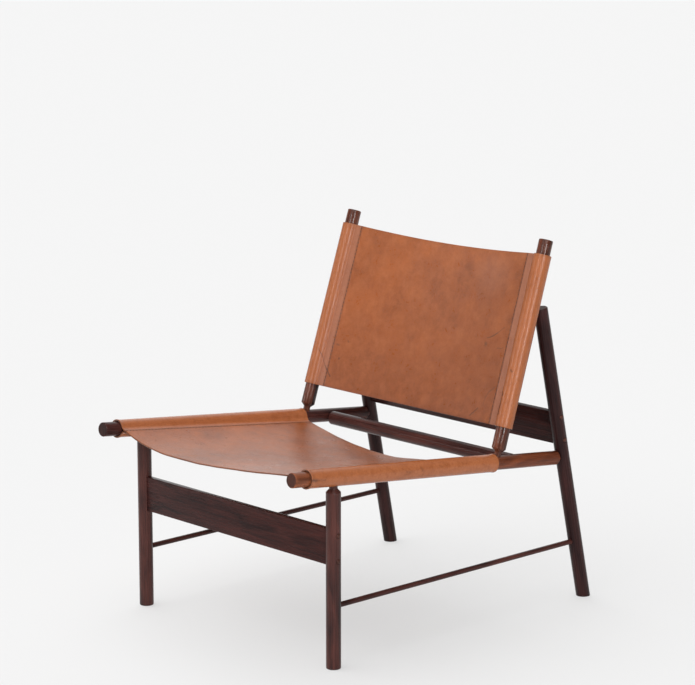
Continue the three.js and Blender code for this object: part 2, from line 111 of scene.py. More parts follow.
def post_point(side, station):
    point = rail_point(side, POST_STATION) + POST_ALONG * station
    point.x -= side * POST_TOE_IN * station / POST_LENGTH
    return point


def cross_point(across):
    point = rail_point(0, CROSS_STATION) - RAIL_UP * CROSS_DROP
    point.x = across
    return point


def axis_frame(start, end):
    """A frame at the start whose Z axis runs towards the end."""
    turn = (end - start).to_track_quat("Z", "Y")
    return Matrix.Translation(start) @ turn.to_matrix().to_4x4()


def turned(profile, start, end, steps=ROD_STEPS):
    """A shape turned about the line from start to end. The profile lists (distance, radius)."""
    shape = bmesh.new()
    ends = [(profile[0][0], 0), *profile, (profile[-1][0], 0)]
    line = [shape.verts.new((radius, 0, distance)) for distance, radius in ends]
    edges = [shape.edges.new(pair) for pair in zip(line, line[1:])]
    for edge in edges:
        cuts = int(edge.calc_length() / RING_SPACING)
        if cuts:
            bmesh.ops.subdivide_edges(shape, edges=[edge], cuts=cuts)
    bmesh.ops.spin(shape, geom=shape.verts[:] + shape.edges[:], cent=(0, 0, 0), axis=(0, 0, 1),
                   angle=math.tau, steps=steps, use_merge=True)
    bmesh.ops.remove_doubles(shape, verts=shape.verts, dist=MERGE_DISTANCE)
    bmesh.ops.recalc_face_normals(shape, faces=shape.faces)
    shape.transform(axis_frame(start, end))
    shape.normal_update()
    return shape


def round_over(shape, width, turns, segments=4):
    """Rounds the edges of a shape whose two faces turn by an angle between the two given."""
    bluntest, sharpest = (math.radians(turn) for turn in turns)
    edges = [edge for edge in shape.edges
             if edge.is_manifold and bluntest < edge.calc_face_angle() <= sharpest]
    bmesh.ops.bevel(shape, geom=edges, offset=width, affect="EDGES", segments=segments, profile=0.5,
                    material=-1, clamp_overlap=True)


def rod(profile, start, end):
    """A turned rod with its cut ends rounded and its shoulders slightly eased."""
    shape = turned(profile, start, end)
    round_over(shape, CUT_EDGE, SQUARE_EDGE)
    round_over(shape, SHOULDER_EDGE, SLOPING_EDGE, segments=2)
    return shape


def neck(shoulder, end, radius, chamfer):
    """Profile from the full rod over a cone to the neck that enters another rod."""
    toward = math.copysign(1, end - shoulder)
    return [(shoulder, ROD_RADIUS), (shoulder + toward * chamfer, radius), (end, radius)]


def bore(start, end, radius):
    """A round bore between two points for a rod of that radius, to be cut out of a piece."""
    length = (end - start).length
    return turned([(0, radius + FIT), (length, radius + FIT)], start, end)


def settle(piece):
    """Makes what a piece's modifiers give the piece's own mesh."""
    scene_state = bpy.context.evaluated_depsgraph_get()
    finished = bpy.data.meshes.new_from_object(
        piece.evaluated_get(scene_state), preserve_all_data_layers=True, depsgraph=scene_state)
    outdated = piece.data
    piece.modifiers.clear()
    piece.data = finished
    bpy.data.meshes.remove(outdated)


def put_in_scene(name, data):
    made = bpy.data.objects.new(name, data)
    scene.collection.objects.link(made)
    return made


def add_object(name, shape):
    mesh = bpy.data.meshes.new(name)
    shape.to_mesh(mesh)
    shape.free()
    return put_in_scene(name, mesh)


def cut_out(piece, cutters):
    """Cuts shapes out of a piece."""
    tools = [add_object("cutter", cutter) for cutter in cutters]
    for tool in tools:
        cut = piece.modifiers.new("cut", "BOOLEAN")
        cut.solver = "EXACT"
        cut.object = tool
    settle(piece)
    for tool in tools:
        bpy.data.objects.remove(tool)


def smooth_but_sharp(piece, sharp_from=WOOD_SHARP_FROM):
    piece.data.shade_smooth()
    piece.data.set_sharp_from_angle(angle=math.radians(sharp_from))


def add_wood(name, shape, material, cutters=(), sawn=None, ends=None):
    """Adds a wooden piece in the place of the frame's node of that name.

    The faces that are sawn square to a direction show end grain, or the material given for ends.
    """
    piece = add_object(f"{name}_wood", shape)
    if cutters:
        cut_out(piece, cutters)
    smooth_but_sharp(piece)
    piece.data.materials.append(material)
    if sawn:
        piece.data.materials.append(ends or end_grain)
        for face in piece.data.polygons:
            if abs(face.normal.dot(sawn)) > END_GRAIN_SQUARE:
                face.material_index = 1
    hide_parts(name)
    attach(piece, "root")
    return piece


def feed(tree, sockets, inputs):
    """Fills sockets with values, or links them to the outputs of other nodes."""
    for name, value in inputs.items():
        if isinstance(value, bpy.types.NodeSocket):
            tree.links.new(value, sockets[name])
        else:
            sockets[name].default_value = value


def add_node(tree, kind, inputs=None, **settings):
    """Adds a shader node, with its settings made before its sockets are filled."""
    made = tree.nodes.new("ShaderNode" + kind)
    for name, value in settings.items():
        setattr(made, name, value)
    feed(tree, made.inputs, inputs or {})
    return made


def mix_colours(tree, factor, first, second, blend="MIX"):
    mixed = add_node(tree, "Mix", {0: factor, 6: first, 7: second}, data_type="RGBA", blend_type=blend)
    return mixed.outputs[2]


def mix_values(tree, factor, first, second):
    return add_node(tree, "Mix", {0: factor, 2: first, 3: second}, data_type="FLOAT").outputs[0]


def calculate(tree, operation, first, second):
    return add_node(tree, "Math", {0: first, 1: second}, operation=operation).outputs[0]


def swing(tree, value, amount):
    """Brings a value that lies about a half to lie about zero, and scales it."""
    return calculate(tree, "MULTIPLY", calculate(tree, "SUBTRACT", value, 0.5), amount)


def spread(tree, value, low, high, to_low=0.0, to_high=1.0):
    """Maps a value's range to another, with the ends held."""
    return add_node(tree, "MapRange", {
        "Value": value, "From Min": low, "From Max": high, "To Min": to_low, "To Max": to_high}).outputs[0]


def noise_at(tree, vector, scale, detail=3.0, roughness=0.5, distortion=0.0):
    return add_node(tree, "TexNoise", {
        "Vector": vector, "Scale": scale, "Detail": detail, "Roughness": roughness,
        "Distortion": distortion}).outputs[0]


def new_group(name, inputs, outputs):
    """A shader node group with named sockets, as (tree, its inputs, its output node)."""
    tree = bpy.data.node_groups.new(name, "ShaderNodeTree")
    for direction, sockets in (("INPUT", inputs), ("OUTPUT", outputs)):
        for socket, kind in sockets.items():
            tree.interface.new_socket(socket, in_out=direction, socket_type="NodeSocket" + kind)
    return tree, tree.nodes.new("NodeGroupInput").outputs, tree.nodes.new("NodeGroupOutput").inputs


def new_material(name):
    """A node material with a Principled BSDF, as (material, tree, the shader)."""
    material = bpy.data.materials.new(name)
    material.use_nodes = True
    return material, material.node_tree, material.node_tree.nodes["Principled BSDF"]


def bump(tree, height, distance):
    return add_node(tree, "Bump", {"Height": height, "Distance": distance}).outputs[0]


# Rosewood is dark brown with redder streaks along the rod, short open pores and faint growth rings.
# Each pattern is drawn out along the grain by its own amount.
SURFACE = {"Color": "Color", "Roughness": "Float", "Height": "Float"}
PORE_TONE = (0.01, 0.005, 0.004, 1)
PORE_DARKNESS = 0.6
RING_SHARE = 0.09
WOOD_RELIEF = 0.0001
grain, given, put_out = new_group(
    "rosewood_grain", {"Vector": "Vector", "Dark": "Color", "Light": "Color", "Streaks": "Float"}, SURFACE)
figure_place, streak_place, pore_place = (
    add_node(grain, "Mapping", {"Vector": given["Vector"], "Scale": (1, 1, drawn_out)}).outputs[0]
    for drawn_out in (0.16, 0.014, 0.05))
figure = noise_at(grain, figure_place, 60, detail=4, distortion=0.6)
streaks = noise_at(grain, streak_place, 420, roughness=0.6)
pores = spread(grain, noise_at(grain, pore_place, 2600, detail=1), 0.62, 0.72)
rings = add_node(grain, "TexWave", {
    "Vector": figure_place, "Scale": 62, "Distortion": 4.0, "Detail": 2.0, "Detail Scale": 1.2},
    wave_type="RINGS", rings_direction="Z").outputs[1]
shade = calculate(grain, "ADD", swing(grain, rings, RING_SHARE), figure)
shade = calculate(grain, "ADD", shade, swing(grain, streaks, given["Streaks"]))
wood_colour = mix_colours(grain, spread(grain, shade, 0.28, 0.74), given["Dark"], given["Light"])
pore_shade = calculate(grain, "MULTIPLY", pores, PORE_DARKNESS)
feed(grain, put_out, {
    "Color": mix_colours(grain, pore_shade, wood_colour, PORE_TONE),
    "Roughness": spread(grain, streaks, 0.3, 0.7, 0.23, 0.35),
    "Height": calculate(grain, "SUBTRACT", calculate(grain, "MULTIPLY", streaks, 0.35), pores)})


def rosewood(name, turn, dark, light, dulled=0.0, streaks=0.16, gloss=0.16):
    """Oiled rosewood. The turn brings the direction of the grain onto the pattern's Z axis."""
    material, tree, shader = new_material(name)
    place = add_node(tree, "TexCoord").outputs["Object"]
    place = add_node(tree, "Mapping", {"Vector": place, "Rotation": turn}).outputs[0]
    wood = add_node(tree, "Group", {
        "Vector": place, "Dark": (*dark, 1), "Light": (*light, 1), "Streaks": streaks},
        node_tree=grain).outputs
    feed(tree, shader.inputs, {
        "Base Color": wood["Color"], "Roughness": calculate(tree, "ADD", wood["Roughness"], dulled),
        "Specular IOR Level": gloss, "Normal": bump(tree, wood["Height"], WOOD_RELIEF)})
    return material


# The left rail is cut from a redder board than the rest. Sawn ends are dull, and one is darker.
DARK_WOOD = ((0.017, 0.0062, 0.0062), (0.084, 0.025, 0.019))
RED_WOOD = ((0.046, 0.0125, 0.0065), (0.21, 0.054, 0.02))
END_GRAIN_SQUARE = 0.97
END_GRAIN_DULLED = 0.22
UPRIGHT = (0, 0, 0)
end_grain = rosewood("rosewood_end_grain", UPRIGHT, (0.02, 0.007, 0.005), (0.09, 0.026, 0.015),
                     END_GRAIN_DULLED)
# The right rail lies on the far side, and its darker sawn end is painted shade.
shaded_end_grain = rosewood("rosewood_end_grain_painted_shade", UPRIGHT, (0.008, 0.003, 0.0028),
                          (0.036, 0.011, 0.0085), END_GRAIN_DULLED)
rail_end = {"left": end_grain, "right": shaded_end_grain}
RAIL_TURN = (math.pi / 2 + RAIL_SLOPE, 0, 0)
# The right rail, on the far side, is given the darker wood as painted shade.
rail_wood = {"left": rosewood("rosewood_left_rail", RAIL_TURN, *RED_WOOD),
             "right": rosewood("rosewood_right_rail_painted_shade", RAIL_TURN, *DARK_WOOD)}
# Hands have rubbed the free end of the left rail paler, as far as the sleeve.
RUBBED_TO = -0.06
rubbed_wood = rosewood("rosewood_left_rail_tip", RAIL_TURN, (0.1, 0.029, 0.013), (0.33, 0.102, 0.043))
rail_profile = [(RAIL_FRONT, ROD_RADIUS), (RUBBED_TO, ROD_RADIUS),
                *neck(RAIL_SHOULDER, RAIL_TENON_END, RAIL_TENON_RADIUS, RAIL_CHAMFER)]
for name, side in SIDES.items():
    bores = [
        bore(leg_point(side, LEG_SHOULDER), leg_point(side, LEG_TENON_END + FIT), LEG_TENON_RADIUS),
        bore(post_point(side, POST_TENON_END - FIT), post_point(side, POST_SHOULDER), POST_TENON_RADIUS),
        bore(cross_point(side * CROSS_SHOULDER), cross_point(side * (CROSS_TENON_END + FIT)),
             RAIL_TENON_RADIUS),
    ]
    shape = rod(rail_profile, rail_point(side, 0), rail_point(side, 1))
    rail = add_wood(f"seat_rail_{name}", shape, rail_wood[name], bores, sawn=RAIL_ALONG,
                    ends=rail_end[name])
    if name == "left":
        rail.data.materials.append(rubbed_wood)
        for face in rail.data.polygons:
            if face.material_index == 0 and face.center.y < rail_point(side, RUBBED_TO).y:
                face.material_index = 2


# Front legs
# Two upright rosewood rods. A cone leads from each to a neck that goes up through the leather
# sleeve into the seat rail. A board and a stretcher are let into them, and two plugs hide screws.
PLUG_RADIUS = 0.005
PLUG_DEPTH = 0.0053
PLUG_ROOM = 0.0003
SCREW_SPACING = 0.052
BOARD_HEIGHT = 0.074
BOARD_THICKNESS = 0.012
BOARD_HOUSING = 0.006
FRONT_BOARD_HEIGHT = 0.2469
STRETCHER_HEIGHT = 0.127
STRETCHER_RADIUS = 0.0055
STRETCHER_START = 0.002
STRETCHER_END = 0.7012
STRETCHER_REAR_X = 0.29729
STRETCHER_REAR_Y = LEG_Y + 0.70354
ACROSS = Vector((1, 0, 0))
UP = Vector((0, 0, 1))


def stretcher_point(side, distance):
    front = leg_point(side, STRETCHER_HEIGHT)
    rear = Vector((side * STRETCHER_REAR_X, STRETCHER_REAR_Y, STRETCHER_HEIGHT))
    return front + (rear - front).normalized() * distance


def matrix_of(x_axis, y_axis, z_axis, origin):
    turn = Matrix((x_axis, y_axis, z_axis)).transposed().to_4x4()
    return Matrix.Translation(origin) @ turn


def board_shape(from_x, to_x, centre, up, margin=0.0):
    """A board on edge across the chair, from one X to another, with its height along up."""
    shape = bmesh.new()
    middle = Vector(((from_x + to_x) / 2, centre.y, centre.z))
    axes = matrix_of(ACROSS, up.cross(ACROSS), up, middle)
    size = (abs(to_x - from_x), BOARD_THICKNESS + 2 * margin, BOARD_HEIGHT + 2 * margin)
    bmesh.ops.create_cube(shape, size=1, matrix=axes @ Matrix.Diagonal((*size, 1)))
    return shape


def board_reach(leg_x):
    return leg_x - ROD_RADIUS + BOARD_HOUSING


def housing(side, centre, up):
    """The slot in a leg that takes a board's end."""
    reach = board_reach(abs(centre.x))
    return board_shape(side * (reach - 2 * ROD_RADIUS), side * (reach + FIT), centre, up, FIT)


def plug_seats(side, centre, up):
    """Where the two screws of a board's end come out of the leg's outer side."""
    outside = centre + ACROSS * side * ROD_RADIUS
    return [outside + up * end * SCREW_SPACING / 2 for end in (-1, 1)]


def plug_bore(seat, outward):
    return bore(seat - outward * PLUG_DEPTH, seat + outward * ROD_RADIUS, PLUG_RADIUS + PLUG_ROOM)


front_leg_wood = rosewood("rosewood_front_legs", UPRIGHT, *DARK_WOOD, gloss=0.24)
front_leg_profile = [(0, ROD_RADIUS),
                     *neck(LEG_SHOULDER, LEG_TENON_END, LEG_TENON_RADIUS, SHOULDER_CHAMFER)]
for name, side in SIDES.items():
    board_end = leg_point(side, FRONT_BOARD_HEIGHT)
    cutters = [
        housing(side, board_end, UP),
        bore(stretcher_point(side, STRETCHER_START - FIT), stretcher_point(side, 2 * ROD_RADIUS),
             STRETCHER_RADIUS),
    ]
    cutters += [plug_bore(seat, ACROSS * side) for seat in plug_seats(side, board_end, UP)]
    shape = rod(front_leg_profile, leg_point(side, 0), leg_point(side, 1))
    add_wood(f"front_leg_{name}", shape, front_leg_wood, cutters, sawn=UP)


# Back posts
# Two leaning rosewood rods that carry the back sling. A short neck below a cone is tenoned into
# the top of the seat rail, and the upper end is cut square with its edge rounded over.
post_wood = rosewood("rosewood_posts", (POST_LEAN, 0, 0), (0.011, 0.0036, 0.003),
                     (0.145, 0.041, 0.021), dulled=-0.11, streaks=0.7, gloss=0.28)
post_profile = [*reversed(neck(POST_SHOULDER, POST_TENON_END, POST_TENON_RADIUS, SHOULDER_CHAMFER)),
                (POST_LENGTH, ROD_RADIUS)]
for name, side in SIDES.items():
    shape = rod(post_profile, post_point(side, 0), post_point(side, POST_LENGTH))
    add_wood(f"back_post_{name}", shape, post_wood, sawn=POST_ALONG)


# Rear legs
# Two slanting rosewood rods from the floor to the back of the posts. The foot is sawn level with
# the floor, and the top is hollowed to fit the sleeved post, where one screw under a plug holds it.
REAR_LEG_ANGLE = math.radians(102.2025)
REAR_LEG_LENGTH = 0.66284
REAR_FOOT_X = 0.299
REAR_FOOT_Y = LEG_Y + 0.731
REAR_TOP_X = 0.29027
REAR_BOARD_STATION = 0.39236
POST_JOINT_STATION = 0.323
SLEEVE_RADIUS = 0.0187
REAR_LEG_ALONG = Vector((0, math.cos(REAR_LEG_ANGLE), math.sin(REAR_LEG_ANGLE)))


def rear_leg_point(side, station):
    point = Vector((0, REAR_FOOT_Y, 0)) + REAR_LEG_ALONG * station
    point.x = side * (REAR_FOOT_X + (REAR_TOP_X - REAR_FOOT_X) * station / REAR_LEG_LENGTH)
    return point


def post_plug_seat(side):
    """Where the screw through the rear leg's top comes out of its back, square to the post."""
    contact = post_point(side, POST_JOINT_STATION) - POST_FRONT * (SLEEVE_RADIUS + FIT)
    crossing = REAR_LEG_ALONG.angle(POST_ALONG)
    return contact - POST_FRONT * 2 * ROD_RADIUS / math.cos(crossing)


rear_leg_wood = rosewood("rosewood_rear_legs", (math.pi / 2 - REAR_LEG_ANGLE, 0, 0),
                         (0.011, 0.0042, 0.0046), (0.043, 0.0137, 0.0124), streaks=0.1)
rear_leg_profile = [(-2 * ROD_RADIUS, ROD_RADIUS), (REAR_LEG_LENGTH, ROD_RADIUS)]
for name, side in SIDES.items():
    shape = rod(rear_leg_profile, rear_leg_point(side, 0), rear_leg_point(side, REAR_LEG_LENGTH))
    sawn = bmesh.ops.bisect_plane(shape, geom=shape.verts[:] + shape.edges[:] + shape.faces[:],
                                  plane_co=(0, 0, 0), plane_no=(0, 0, -1), clear_outer=True)
    rim = [edge for edge in sawn["geom_cut"] if isinstance(edge, bmesh.types.BMEdge)]
    bmesh.ops.contextual_create(shape, geom=rim)
    board_end = rear_leg_point(side, REAR_BOARD_STATION)
    cutters = [
        bore(post_point(side, 0), post_point(side, POST_LENGTH), SLEEVE_RADIUS),
        bore(rail_point(side, RAIL_SHOULDER), rail_point(side, RAIL_TENON_END + FIT), RAIL_TENON_RADIUS),
        housing(side, board_end, REAR_LEG_ALONG),
        bore(stretcher_point(side, STRETCHER_END - 2 * ROD_RADIUS),
             stretcher_point(side, STRETCHER_END + FIT), STRETCHER_RADIUS),
        plug_bore(post_plug_seat(side), -POST_FRONT),
    ]
    cutters += [plug_bore(seat, ACROSS * side) for seat in plug_seats(side, board_end, REAR_LEG_ALONG)]
    add_wood(f"rear_leg_{name}", shape, rear_leg_wood, cutters, sawn=REAR_LEG_ALONG)


# Cross rail
# A rosewood rod behind the seat that keeps the two seat rails apart. It is turned with a short
# cone and a tenon at each end, and sits just below the middle of the rails.
cross_wood = rosewood("rosewood_across", (0, -math.pi / 2, 0), *DARK_WOOD)
cross_neck = neck(CROSS_SHOULDER, CROSS_TENON_END, RAIL_TENON_RADIUS, RAIL_CHAMFER)
cross_profile = [*((-distance, radius) for distance, radius in reversed(cross_neck)), *cross_neck]
add_wood("seat_cross_rail", rod(cross_profile, cross_point(0), cross_point(RAIL_X)), cross_wood)


# Side stretchers
# Thin rosewood rods low on each side, level with the floor. Each is turned to one thickness, and
# its ends are glued into round bores in the front and rear legs.
THIN_ROD_STEPS = 40
stretcher_wood = rosewood("rosewood_stretchers", (math.pi / 2, 0, 0), *DARK_WOOD)
stretcher_profile = [(STRETCHER_START, STRETCHER_RADIUS), (STRETCHER_END, STRETCHER_RADIUS)]
for name, side in SIDES.items():
    shape = turned(stretcher_profile, stretcher_point(side, 0), stretcher_point(side, 1), THIN_ROD_STEPS)
    add_wood(f"side_stretcher_{name}", shape, stretcher_wood)


# Boards
# Two rosewood boards on edge that stiffen the frame across its width, one between the front legs
# and one between the rear legs. Their ends are let into the legs, and their edges are eased.
BOARD_EDGE = 0.0014
board_wood = rosewood("rosewood_boards", (0, -math.pi / 2, 0), (0.015, 0.005, 0.0049),
                      (0.056, 0.0148, 0.012), streaks=0.04, gloss=0.12)
BOARDS = {
    "front_board": (leg_point(1, FRONT_BOARD_HEIGHT), UP),
    "rear_board": (rear_leg_point(1, REAR_BOARD_STATION), REAR_LEG_ALONG),
}
for name, (centre, up) in BOARDS.items():
    reach = board_reach(centre.x)
    shape = board_shape(-reach, reach, centre, up)
    round_over(shape, BOARD_EDGE, SQUARE_EDGE, segments=3)
    add_wood(name, shape, board_wood)


# Screws and plugs
# Plain steel wood screws hold the boards and the tops of the rear legs. Each head lies under a
# short domed plug of end-grain rosewood, pressed in from the outside of the leg.
PLUG_DOME = 0.0011
PLUG_CROWN = (0.92, 0.75, 0.5, 0.25)


def speckled(name, scale, dark, light, roughness, metallic=0.0):
    """A material of one kind throughout, whose tone and roughness vary finely."""
    material, tree, shader = new_material(name)
    place = add_node(tree, "TexCoord").outputs["Object"]
    specks = noise_at(tree, place, scale, detail=2)
    feed(tree, shader.inputs, {
        "Base Color": mix_colours(tree, specks, (*dark, 1), (*light, 1)),
        "Roughness": spread(tree, specks, 0.3, 0.7, *roughness), "Metallic": metallic})
    return material


screw_steel = speckled("screw_steel", 3000, (0.42, 0.42, 0.41), (0.58, 0.57, 0.55), (0.28, 0.42), 1.0)
plug_wood = rosewood("rosewood_plugs", (0, math.pi / 2, 0), (0.02, 0.008, 0.007), (0.09, 0.032, 0.022))


def add_plug(name, seat, outward):
    """A plug whose domed end stands just proud of the leg."""
    crown = [(PLUG_DOME * (1 - share ** 2), PLUG_RADIUS * share) for share in PLUG_CROWN]
    profile = [(-PLUG_DEPTH + FIT, PLUG_RADIUS), (-PLUG_DOME / 2, PLUG_RADIUS), *crown]
    shape = turned(profile, seat, seat + outward, THIN_ROD_STEPS)
    add_wood(f"{name}_plug", shape, plug_wood)


for name, side in SIDES.items():
    for board, (centre, up) in BOARDS.items():
        end = Vector((side * centre.x, centre.y, centre.z))
        for level, seat in zip(("lower", "upper"), plug_seats(side, end, up)):
            add_plug(f"{board}_{name}_{level}", seat, ACROSS * side)
    add_plug(f"rear_leg_{name}", post_plug_seat(side), -POST_FRONT)
for node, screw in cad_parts.items():
    if node.endswith("_screw"):
        screw.data.materials.clear()
        screw.data.materials.append(screw_steel)


# Seat sling
# One sheet of thick saddle leather hung between the seat rails. Each side is wrapped round its
# rail into a sleeve, turned in under the seat and sewn through both layers with waxed thread.
LEATHER = 0.0032
LAYER_GAP = 0.0006
LAYERS = LEATHER + LAYER_GAP
WRAP_RADIUS = SLEEVE_RADIUS - LEATHER / 2
SEAM_ALLOWANCE = 0.014
SEAM_SOFTNESS = 0.002
SEAM_PRESSED = 0.4
SEAM_PRESSED_WIDTH = 0.0019
EDGE_STEPS = (0, 0.0003, 0.0009)
EDGE_THICKNESS = 0.5
FLARE_LENGTH = 0.014
FLAP_COLUMNS = 8
SLEEVE_COLUMNS = 84
SHEET_COLUMNS = 58
SLING_ROWS = 96
COLUMN_CROWDING = 0.62
SHEET_CROWDING = 1.5
ROW_CROWDING = 0.7
LEATHER_SHARP_FROM = 50

# How far the marks that the leather's materials use reach from a seam or a cut end.
BAND_RISE = 0.002
SLEEVE_RISE = 0.004
SEAM_STAIN = 0.003
END_STAIN = 0.005

FINE_WAVES = 0.4
STITCH_PITCH = 0.0085
STITCH_SIZE = (0.0008, 0.0023, 0.0007)
STITCH_PROUD = 0.3


def between(ends, share):
    return ends[0] + (ends[1] - ends[0]) * share


def clamp(value):
    return min(max(value, 0), 1)


def crowd(share, amount):
    """How much a share of the way moves back so that places crowd near both ends."""
    return amount * math.sin(math.tau * share) / math.tau


class HalfSection:
    """The middle line of the leather across half a sling, measured from the flap's end inwards.

    From the seam to the rod the leather lies in two layers, and a fillet leads each of them round
    the rod. The sheet gives how far the sling lies out towards the sitter at a distance across.
    """

    def __init__(self, half_width, seam_gap, fillet, sheet):
        self.sheet = sheet
        self.fillet = fillet
        self.rod = Vector((half_width, 0))
        self.seam_x = half_width - SLEEVE_RADIUS - seam_gap
        self.inward = Vector((self.seam_x, sheet(self.seam_x) - LAYERS / 2)) - self.rod
        self.reach = self.inward.length
        self.inward.normalize()
        self.outward = Vector((self.inward.y, -self.inward.x))
        turn = WRAP_RADIUS + fillet
        self.opening = math.asin((LAYERS / 2 + fillet) / turn)
        self.band_start = turn * math.cos(self.opening)
        self.band = self.reach - self.band_start
        self.bend = fillet * (math.pi / 2 - self.opening)
        self.loop = 2 * (self.band + self.bend) + WRAP_RADIUS * (math.tau - 2 * self.opening)
        self.seams = (SEAM_ALLOWANCE, SEAM_ALLOWANCE + self.loop)

    def on_loop(self, length):
        """A place on the sleeve's loop. Its two halves mirror each other."""
        from_seam = min(length, self.loop - length)
        if from_seam < self.band:
            inward, outward = self.reach - from_seam, -LAYERS / 2
        elif from_seam < self.band + self.bend:
            angle = math.pi / 2 + (from_seam - self.band) / self.fillet
            inward = self.band_start + self.fillet * math.cos(angle)
            outward = self.fillet * (math.sin(angle) - 1) - LAYERS / 2
        else:
            angle = self.opening + (from_seam - self.band - self.bend) / WRAP_RADIUS
            inward, outward = WRAP_RADIUS * math.cos(angle), -WRAP_RADIUS * math.sin(angle)
        if length > self.loop / 2:
            outward = -outward
        return self.rod + self.inward * inward + self.outward * outward

    def crisp(self, length):
        length -= SEAM_ALLOWANCE
        if 0 <= length <= self.loop:
            return self.on_loop(length)
        layer = LAYERS if length < 0 else 0
        across = self.seam_x + (length if length < 0 else self.loop - length)
        return Vector((across, self.sheet(across) - layer))

    def place(self, length):
        """Where a length of leather lies, as (across, out), with the bends at the seams softened."""
        beside = self.crisp(length - SEAM_SOFTNESS) + self.crisp(length + SEAM_SOFTNESS)
        return self.crisp(length) / 2 + beside / 4

    def from_seam(self, length):
        """How far inside the sleeve's two seams a length of leather lies."""
        return min(length - self.seams[0], self.seams[1] - length)

    def near_seam(self, length, width):
        return max(math.exp(-((length - seam) / width) ** 2) for seam in self.seams)

    def column(self, number):
        """Length of leather up to a column of points, which crowd near the seams."""
        if number <= FLAP_COLUMNS:
            return SEAM_ALLOWANCE * math.sin(math.pi / 2 * number / FLAP_COLUMNS)
        share = (number - FLAP_COLUMNS) / SLEEVE_COLUMNS
        if share <= 1:
            return SEAM_ALLOWANCE + self.loop * (share - crowd(share, COLUMN_CROWDING))
        share = (number - FLAP_COLUMNS - SLEEVE_COLUMNS) / SHEET_COLUMNS
        return self.seams[1] + self.seam_x * share ** SHEET_CROWDING


def row_place(row, length):
    """Share of the sling's length at a row of points, which crowd near its cut ends."""
    from_end = min(row, SLING_ROWS - row)
    if from_end < len(EDGE_STEPS):
        place = EDGE_STEPS[from_end] if row == from_end else length - EDGE_STEPS[from_end]
        return place / length
    margin = len(EDGE_STEPS) - 1
    share = (row - margin) / (SLING_ROWS - 2 * margin)
    share -= crowd(share, ROW_CROWDING)
    return between((EDGE_STEPS[-1], length - EDGE_STEPS[-1]), share) / length


def edge_fullness(from_edge):
    """Share of its full thickness that the leather has close to a cut edge, which is rounded."""
    short = 1 - min(from_edge / EDGE_STEPS[-1], 1)
    return EDGE_THICKNESS + (1 - EDGE_THICKNESS) * math.sqrt(1 - short ** 2)


class Sling:
    """A sheet of leather sewn into a sleeve along two rods, in the frame of those rods.

    Each kind of sling gives its own measures, and how its half width and its sheet run.
    """

    @property
    def length(self):
        return self.ends[1] - self.ends[0]

    def half(self, side, share):
        return HalfSection(self.half_width(share), self.seam_gap, self.fillet,
                           lambda across: self.sheet(side * across, share))

    def from_end(self, share):
        return min(share, 1 - share) * self.length

    def point(self, side, share, length, half):
        """Where a length of leather lies, at a share of the way along the rods."""
        across, out = half.place(length)
        from_seam = half.from_seam(length)
        if from_seam > 0:
            rise = min(from_seam / FLARE_LENGTH, 1)
            flare = self.flare * rise ** 2 * (3 - 2 * rise)
            flare *= max(0, 1 - self.from_end(share) / FLARE_LENGTH) ** 2
            spread_out = 1 + flare / math.hypot(across - half.rod.x, out)
            across, out = half.rod.x + (across - half.rod.x) * spread_out, out * spread_out
        along = between(self.ends, share)
        return self.place @ self.ripple(side * across, along, out, share)

    def ripple(self, across, along, out, share):
        """Adds a dip of the upper edge and waves of the worn leather, less towards the sleeves."""
        slack = max(0, 1 - (across / (self.half_width(share) - self.taut_margin)) ** 2)
        slow, fine = (noise.noise(Vector((across * pitch_across, along * pitch_along, seed)))
                      for pitch_across, pitch_along, seed in self.waves)
        height = self.wave_height * slack * (slow + FINE_WAVES * fine)
        return Vector((across, along - self.top_dip * share * slack, out + height))


def open_hole(shape, side):
    """Opens the hole in the underside of a seat sleeve that the front leg's neck goes through."""
    radius = LEG_TENON_RADIUS + FIT
    axis = leg_point(side, RAIL_HEIGHT)

    def beside(place):
        return (place - axis).to_2d() if place.z < axis.z else Vector((1, 1))

    covered = [face for face in shape.faces if beside(face.calc_center_median()).length < radius]
    bmesh.ops.delete(shape, geom=covered, context="FACES")
    for vert in shape.verts:
        if vert.is_boundary and beside(vert.co).length < 2 * radius:
            across, along = beside(vert.co).normalized() * radius
            below = math.sqrt(WRAP_RADIUS ** 2 - across ** 2) / math.cos(RAIL_SLOPE)
            vert.co = axis + Vector((across, along, -along * math.tan(RAIL_SLOPE) - below))


def sheen_patch_share(sheen_patch, across, along):
    """How much a patch of painted sheen on the flat leather shows, from its middle, reach and strength."""
    middle, reach, strength = sheen_patch
    away_across = (across - middle[0]) / reach[0]
    away_along = (along - middle[1]) / reach[1]
    return strength * math.exp(-away_across ** 2 - away_along ** 2)


